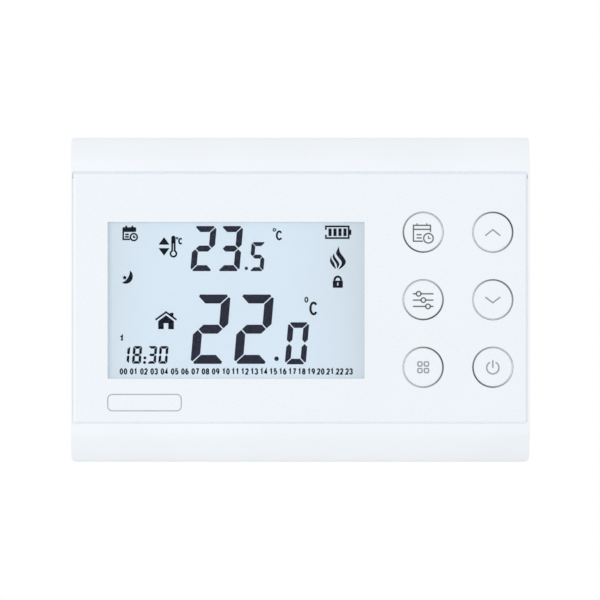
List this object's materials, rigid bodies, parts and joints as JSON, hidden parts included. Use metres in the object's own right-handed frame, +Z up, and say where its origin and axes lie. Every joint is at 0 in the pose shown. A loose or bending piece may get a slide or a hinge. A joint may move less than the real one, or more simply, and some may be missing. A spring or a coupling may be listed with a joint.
{
  "type": "wall thermostat",
  "caption": "Battery-powered room thermostat with an LCD and two columns of ringed push buttons; the unit pulls straight off a wall plate with a screw terminal block.",
  "frame": {"origin": "centre of the wall plate's back face, on the wall", "axes": "+X to the right of someone facing the thermostat, +Y into the wall, +Z up"},
  "size_m": [0.12, 0.0251, 0.085],
  "materials": {
    "casing": "smooth satin white plastic",
    "panel": "semi-gloss white plastic",
    "window": "clear, polished",
    "glass": "pale blue liquid crystal glass",
    "guide": "frosted translucent plastic",
    "holder": "matt white plastic",
    "ring": "bright plated",
    "steel": "nickel-plated",
    "brass": "bare brass",
    "board": "green solder mask",
    "component": "black moulded plastic",
    "relay": "blue moulded plastic",
    "terminal": "green glass-filled plastic",
    "rubber": "matt silicone",
    "cell": "printed plastic sleeve",
    "sensor": "dipped epoxy"
  },
  "bodies": {
    "wall_base": {"wall_plate": "casing", "terminal_block": "terminal", "terminal_socket_left": "brass", "terminal_socket_centre": "brass", "terminal_socket_right": "brass"},
    "control_unit": {"front_case": "casing", "front_panel": "panel", "rear_cover": "casing", "cover_screw_lower_left": "steel", "cover_screw_lower_right": "steel", "cover_screw_upper_left": "steel", "cover_screw_upper_right": "steel", "display_window": "window", "lcd_glass": "glass", "lcd_holder": "holder", "light_guide": "guide", "zebra_strip": "rubber", "backlight_led": "holder", "main_board": "board", "relay": "relay", "microcontroller": "component", "crystal": "steel", "storage_capacitor": "component", "temperature_sensor": "sensor", "pin_header": "brass", "battery_upper": "cell", "battery_lower": "cell", "battery_contact_bridge": "steel", "battery_contact_negative": "steel", "battery_contact_positive": "steel", "tact_switch_program": "steel", "tact_switch_settings": "steel", "tact_switch_menu": "steel", "tact_switch_up": "steel", "tact_switch_down": "steel", "tact_switch_power": "steel"},
    "push_program": {"button_program": "panel", "button_ring_program": "ring", "switch_plunger_program": "component"},
    "push_settings": {"button_settings": "panel", "button_ring_settings": "ring", "switch_plunger_settings": "component"},
    "push_menu": {"button_menu": "panel", "button_ring_menu": "ring", "switch_plunger_menu": "component"},
    "push_up": {"button_up": "panel", "button_ring_up": "ring", "switch_plunger_up": "component"},
    "push_down": {"button_down": "panel", "button_ring_down": "ring", "switch_plunger_down": "component"},
    "push_power": {"button_power": "panel", "button_ring_power": "ring", "switch_plunger_power": "component"},
    "screw_left": {"terminal_screw_left": "steel"},
    "clamp_left": {"terminal_clamp_left": "steel"},
    "screw_centre": {"terminal_screw_centre": "steel"},
    "clamp_centre": {"terminal_clamp_centre": "steel"},
    "screw_right": {"terminal_screw_right": "steel"},
    "clamp_right": {"terminal_clamp_right": "steel"}
  },
  "joints": [
    {"name": "unit_release", "type": "slide", "parent": "wall_base", "child": "control_unit", "axis": [0, -1, 0], "range_m": [0, 0.04]},
    {"name": "program_press", "type": "slide", "parent": "control_unit", "child": "push_program", "axis": [0, 1, 0], "range_m": [0, 0.0005], "stiffness_N_per_m": 3000, "springref_m": -0.0004},
    {"name": "settings_press", "type": "slide", "parent": "control_unit", "child": "push_settings", "axis": [0, 1, 0], "range_m": [0, 0.0005], "stiffness_N_per_m": 3000, "springref_m": -0.0004},
    {"name": "menu_press", "type": "slide", "parent": "control_unit", "child": "push_menu", "axis": [0, 1, 0], "range_m": [0, 0.0005], "stiffness_N_per_m": 3000, "springref_m": -0.0004},
    {"name": "up_press", "type": "slide", "parent": "control_unit", "child": "push_up", "axis": [0, 1, 0], "range_m": [0, 0.0005], "stiffness_N_per_m": 3000, "springref_m": -0.0004},
    {"name": "down_press", "type": "slide", "parent": "control_unit", "child": "push_down", "axis": [0, 1, 0], "range_m": [0, 0.0005], "stiffness_N_per_m": 3000, "springref_m": -0.0004},
    {"name": "power_press", "type": "slide", "parent": "control_unit", "child": "push_power", "axis": [0, 1, 0], "range_m": [0, 0.0005], "stiffness_N_per_m": 3000, "springref_m": -0.0004},
    {"name": "screw_left_turn", "type": "hinge", "parent": "wall_base", "child": "screw_left", "pos_m": [-0.009, 0, -0.0036], "axis": [0, 1, 0], "range_deg": [0, 1008.1]},
    {"name": "clamp_left_rise", "type": "slide", "parent": "wall_base", "child": "clamp_left", "axis": [0, -1, 0], "range_m": [0, 0.0014]},
    {"name": "screw_centre_turn", "type": "hinge", "parent": "wall_base", "child": "screw_centre", "pos_m": [0, 0, -0.0036], "axis": [0, 1, 0], "range_deg": [0, 1008.1]},
    {"name": "clamp_centre_rise", "type": "slide", "parent": "wall_base", "child": "clamp_centre", "axis": [0, -1, 0], "range_m": [0, 0.0014]},
    {"name": "screw_right_turn", "type": "hinge", "parent": "wall_base", "child": "screw_right", "pos_m": [0.009, 0, -0.0036], "axis": [0, 1, 0], "range_deg": [0, 1008.1]},
    {"name": "clamp_right_rise", "type": "slide", "parent": "wall_base", "child": "clamp_right", "axis": [0, -1, 0], "range_m": [0, 0.0014]}
  ],
  "couplings": [
    {"joint": "screw_left_turn", "follows": "clamp_left_rise", "rad_per_m": 12566},
    {"joint": "screw_centre_turn", "follows": "clamp_centre_rise", "rad_per_m": 12566},
    {"joint": "screw_right_turn", "follows": "clamp_right_rise", "rad_per_m": 12566}
  ]
}
